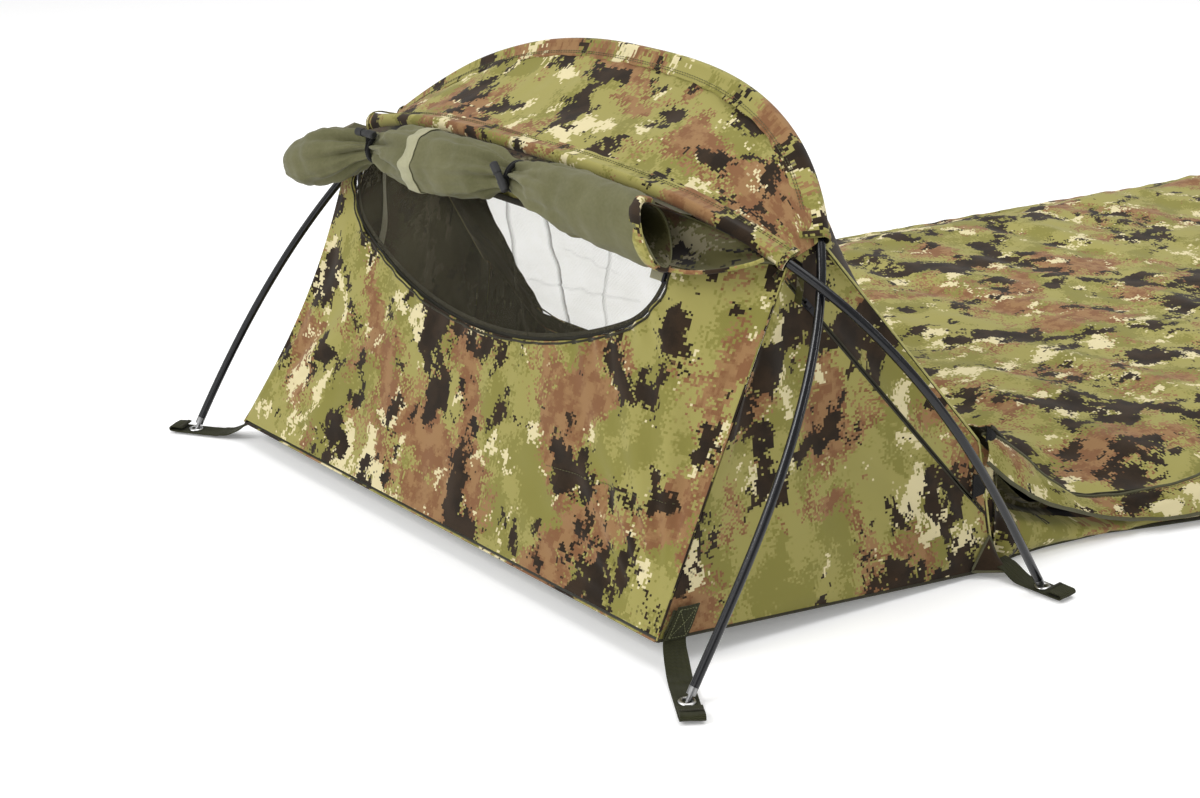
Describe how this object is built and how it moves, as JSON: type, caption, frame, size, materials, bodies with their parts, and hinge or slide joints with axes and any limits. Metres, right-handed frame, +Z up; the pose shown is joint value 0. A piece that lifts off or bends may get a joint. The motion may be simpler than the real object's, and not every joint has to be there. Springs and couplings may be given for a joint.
{
  "type": "bivy sack",
  "caption": "Hooped one-person bivy sack: two crossed bent poles hold a head compartment with a net window and a rolled storm flap; a low tapered bag with a zipped side runs to the foot.",
  "frame": {"origin": "on the ground, on the floor's underside, below the middle of the hooped head compartment", "axes": "+Z up, +Y from the head wall towards the foot, +X to the side with the long zip"},
  "size_m": [1.0989, 2.3595, 0.521],
  "materials": {
    "camo_shell": null,
    "olive_lining": "matte olive coated lining side of the shell",
    "tape": "pale olive seam tape",
    "floor_fabric": "heavy coated olive floor fabric",
    "insect_net": "fine black insect net",
    "pale_net": "fine pale vent net",
    "zip_coil": "black nylon coil",
    "slider_metal": "dark painted die-cast",
    "black_plastic": "moulded black acetal",
    "black_elastic": "braided elastic",
    "hook_loop": "black hook and loop",
    "olive_webbing": "woven 25 mm webbing",
    "grommet_steel": "bright nickel-plated",
    "tip_steel": "bright turned steel",
    "insert_metal": "plain drawn tube",
    "pole_black": "gloss black anodised tube"
  },
  "bodies": {
    "shelter": {"bag_flap_head_end": "camo_shell", "bag_side_band": "camo_shell", "bag_top_panel": "camo_shell", "bag_zip_chain": "zip_coil", "corner_grommets": "grommet_steel", "entrance_panel": "camo_shell", "entrance_zip_chain": "zip_coil", "flap_hook_patch": "hook_loop", "flap_loop_patch": "hook_loop", "front_left_tab": "olive_webbing", "front_pole_cord": "black_elastic", "front_pole_inserts": "insert_metal", "front_pole_section_1": "pole_black", "front_pole_section_2": "pole_black", "front_pole_section_3": "pole_black", "front_pole_section_4": "pole_black", "front_pole_section_5": "pole_black", "front_pole_sleeve": "camo_shell", "front_pole_tips": "tip_steel", "front_right_tab": "olive_webbing", "groundsheet": "floor_fabric", "head_wall": "camo_shell", "hood_roof": "camo_shell", "left_side_wall": "camo_shell", "rear_left_tab": "olive_webbing", "rear_panel": "camo_shell", "rear_pole_cord": "black_elastic", "rear_pole_inserts": "insert_metal", "rear_pole_section_1": "pole_black", "rear_pole_section_2": "pole_black", "rear_pole_section_3": "pole_black", "rear_pole_section_4": "pole_black", "rear_pole_section_5": "pole_black", "rear_pole_sleeve": "camo_shell", "rear_pole_tips": "tip_steel", "rear_right_tab": "olive_webbing", "rear_vent_cover_roll": "camo_shell", "rear_vent_mesh": "pale_net", "right_side_wall": "camo_shell", "storm_flap_end": "camo_shell", "window_mesh": "insect_net", "window_zip_chain": "zip_coil"},
    "rolled_flap": {"storm_flap_roll": "olive_lining", "flap_tape_band": "tape", "left_tie_loop": "black_elastic", "right_tie_loop": "black_elastic"},
    "left_toggle": {"left_toggle": "black_plastic"},
    "right_toggle": {"right_toggle": "black_plastic"},
    "window_slider": {"window_slider": "slider_metal"},
    "window_pull": {"window_pull": "slider_metal"},
    "entrance_slider": {"entrance_slider": "slider_metal"},
    "entrance_pull": {"entrance_pull": "slider_metal"},
    "bag_slider": {"bag_slider": "slider_metal"},
    "bag_pull": {"bag_pull": "slider_metal"},
    "bag_storm_flap": {"bag_storm_flap": "camo_shell"}
  },
  "joints": [
    {"name": "rolled_flap_swing", "type": "hinge", "parent": "shelter", "child": "rolled_flap", "pos_m": [0, -0.092, 0.425], "axis": [-1, 0, 0], "range_deg": [0, 25]},
    {"name": "left_toggle_turn", "type": "hinge", "parent": "rolled_flap", "child": "left_toggle", "pos_m": [-0.192, -0.14044, 0.41493], "axis": [0, -1, 0], "range_deg": [-20, 20]},
    {"name": "right_toggle_turn", "type": "hinge", "parent": "rolled_flap", "child": "right_toggle", "pos_m": [0.062, -0.1478, 0.417], "axis": [0, -1, 0], "range_deg": [-20, 20]},
    {"name": "window_slider_track", "type": "hinge", "parent": "shelter", "child": "window_slider", "pos_m": [0.198, -0.10411, 0.362], "axis": [0, 0.953, -0.303], "range_deg": [0, 50]},
    {"name": "window_pull_hinge", "type": "hinge", "parent": "window_slider", "child": "window_pull", "pos_m": [0.27728, -0.11155, 0.3531], "axis": [0.9903, -0.0422, -0.1326], "range_deg": [0, 150]},
    {"name": "entrance_slider_track", "type": "slide", "parent": "shelter", "child": "entrance_slider", "axis": [0.1393, 0.6421, -0.7538], "range_m": [0, 0.27]},
    {"name": "entrance_pull_hinge", "type": "hinge", "parent": "entrance_slider", "child": "entrance_pull", "pos_m": [0.38866, -0.02557, 0.33419], "axis": [-0.1019, -0.7479, -0.6559], "range_deg": [0, 90]},
    {"name": "bag_slider_track", "type": "slide", "parent": "shelter", "child": "bag_slider", "axis": [-0.1823, 0.9832, 0], "range_m": [0, 1.26]},
    {"name": "bag_pull_hinge", "type": "hinge", "parent": "bag_slider", "child": "bag_pull", "pos_m": [0.51366, 0.5704, 0.03826], "axis": [0.6009, 0.1114, -0.7915], "range_deg": [0, 60]},
    {"name": "bag_flap_lift", "type": "hinge", "parent": "shelter", "child": "bag_storm_flap", "pos_m": [0.47975, 0.54743, 0.048], "axis": [0.1823, -0.9832, 0], "range_deg": [0, 120]}
  ]
}
